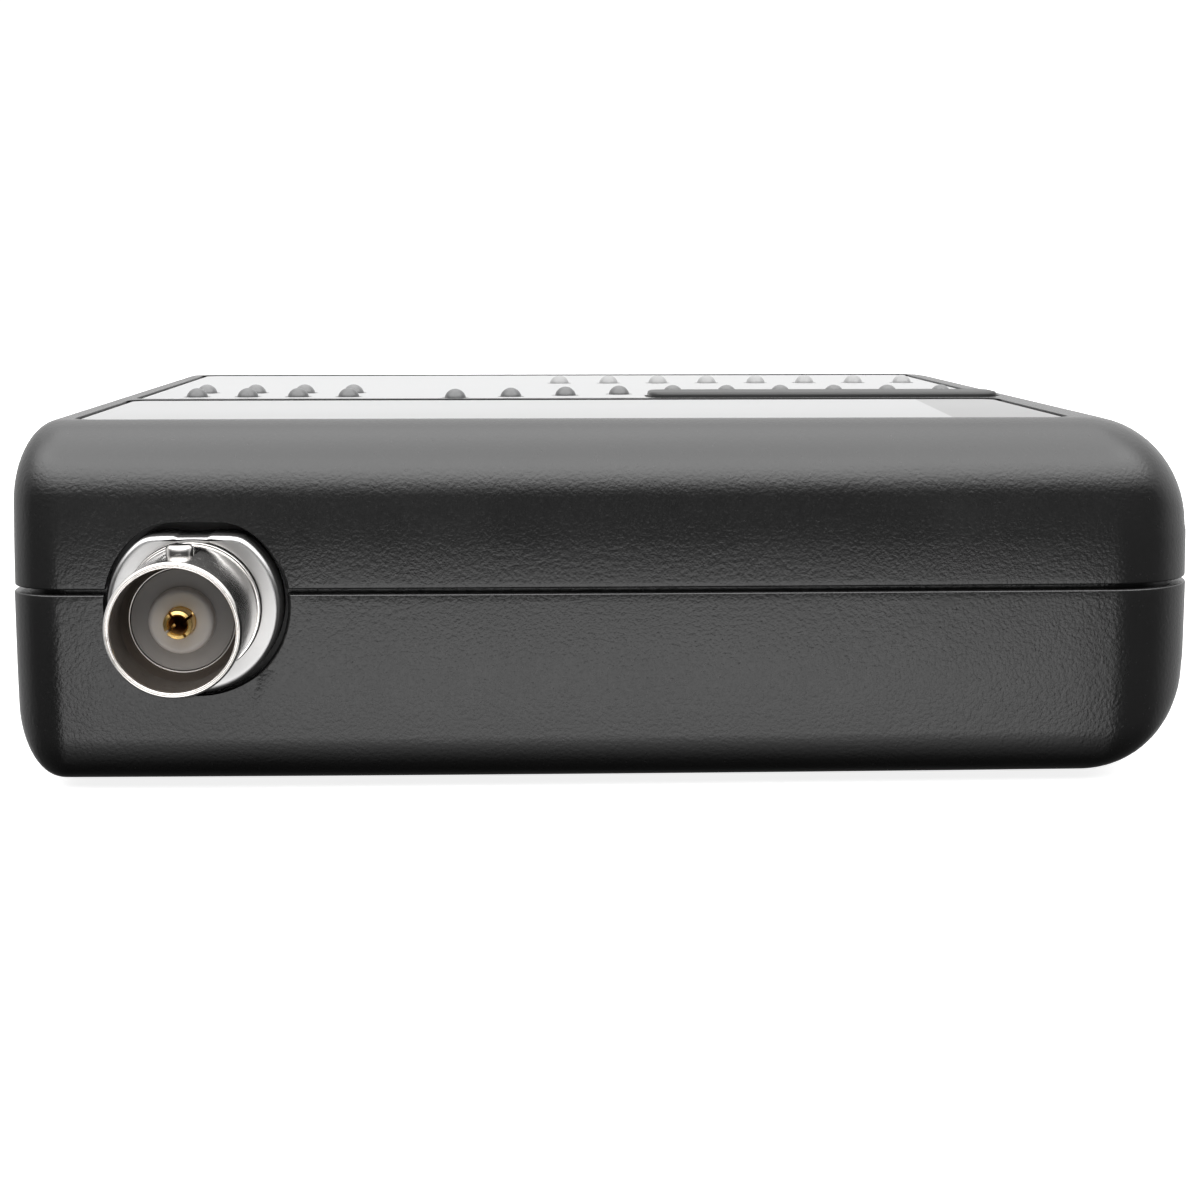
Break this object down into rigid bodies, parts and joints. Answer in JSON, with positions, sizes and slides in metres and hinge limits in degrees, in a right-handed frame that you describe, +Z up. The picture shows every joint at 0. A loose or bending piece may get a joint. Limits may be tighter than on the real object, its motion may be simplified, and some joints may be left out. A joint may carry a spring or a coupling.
{
  "type": "logic analyzer",
  "caption": "Compact bench logic analyzer: split plastic case with a BNC trigger jack at one end, channel header, USB socket and controls at the other, indicator domes on top.",
  "frame": {"origin": "under the middle of the whole object, on the surface the rubber feet stand on", "axes": "+Z up; -Y is the end with the trigger jack, +Y the end with the channel header and USB socket; +X to the right when facing the jack end"},
  "size_m": [0.091, 0.1054, 0.0288],
  "materials": {
    "shell_plastic": "fine matte texture",
    "label_film": "satin printed film",
    "overlay_film": "satin printed film",
    "bezel_plastic": "satin moulded",
    "pipe_plastic": "clear domes, unlit",
    "board_laminate": "solder mask",
    "nickel_plate": "bright nickel",
    "dielectric": "waxy moulded",
    "gold_plate": "thin gold plate",
    "black_plastic": "moulded",
    "switch_steel": "pressed sheet",
    "chip_plastic": "moulded epoxy",
    "cap_plastic": "moulded",
    "screw_steel": "zinc plated",
    "foot_rubber": "matte"
  },
  "bodies": {
    "case": {"upper_shell": "shell_plastic", "lower_shell": "shell_plastic", "nameplate": "label_film", "control_overlay": "overlay_film", "light_bezel": "bezel_plastic", "light_pipes_front": "pipe_plastic", "light_pipes_middle": "pipe_plastic", "light_pipes_rear": "pipe_plastic", "light_pipes_left_near": "pipe_plastic", "light_pipes_left_far": "pipe_plastic", "main_board": "board_laminate", "jack_housing": "nickel_plate", "jack_barrel": "nickel_plate", "usb_socket": "nickel_plate", "crystal_can": "nickel_plate", "jack_insulator": "dielectric", "jack_contact": "gold_plate", "header_pin_1": "gold_plate", "header_pin_2": "gold_plate", "header_pin_3": "gold_plate", "header_pin_4": "gold_plate", "header_pin_5": "gold_plate", "header_pin_6": "gold_plate", "header_pin_7": "gold_plate", "header_pin_8": "gold_plate", "header_pin_9": "gold_plate", "header_pin_10": "gold_plate", "header_pin_11": "gold_plate", "header_pin_12": "gold_plate", "header_pin_13": "gold_plate", "header_pin_14": "gold_plate", "header_pin_15": "gold_plate", "header_pin_16": "gold_plate", "header_pin_17": "gold_plate", "header_pin_18": "gold_plate", "header_pin_19": "gold_plate", "header_pin_20": "gold_plate", "channel_header": "black_plastic", "usb_tongue": "black_plastic", "mode_switch_body": "switch_steel", "arm_button_switch": "chip_plastic", "logic_chip": "chip_plastic", "usb_chip": "chip_plastic", "memory_chip": "chip_plastic", "regulator": "chip_plastic", "case_screw_1": "screw_steel", "case_screw_2": "screw_steel", "case_screw_3": "screw_steel", "case_screw_4": "screw_steel", "board_screw_1": "screw_steel", "board_screw_2": "screw_steel", "foot_1": "foot_rubber", "foot_2": "foot_rubber", "foot_3": "foot_rubber", "foot_4": "foot_rubber"},
    "mode_switch_knob": {"mode_switch_knob": "black_plastic"},
    "arm_button_cap": {"arm_button_cap": "cap_plastic"}
  },
  "joints": [
    {"name": "mode_switch_slide", "type": "slide", "parent": "case", "child": "mode_switch_knob", "axis": [1, 0, 0], "range_m": [0, 0.003]},
    {"name": "arm_button_press", "type": "slide", "parent": "case", "child": "arm_button_cap", "axis": [0, -1, 0], "range_m": [0, 0.0005], "stiffness_N_per_m": 2000}
  ]
}
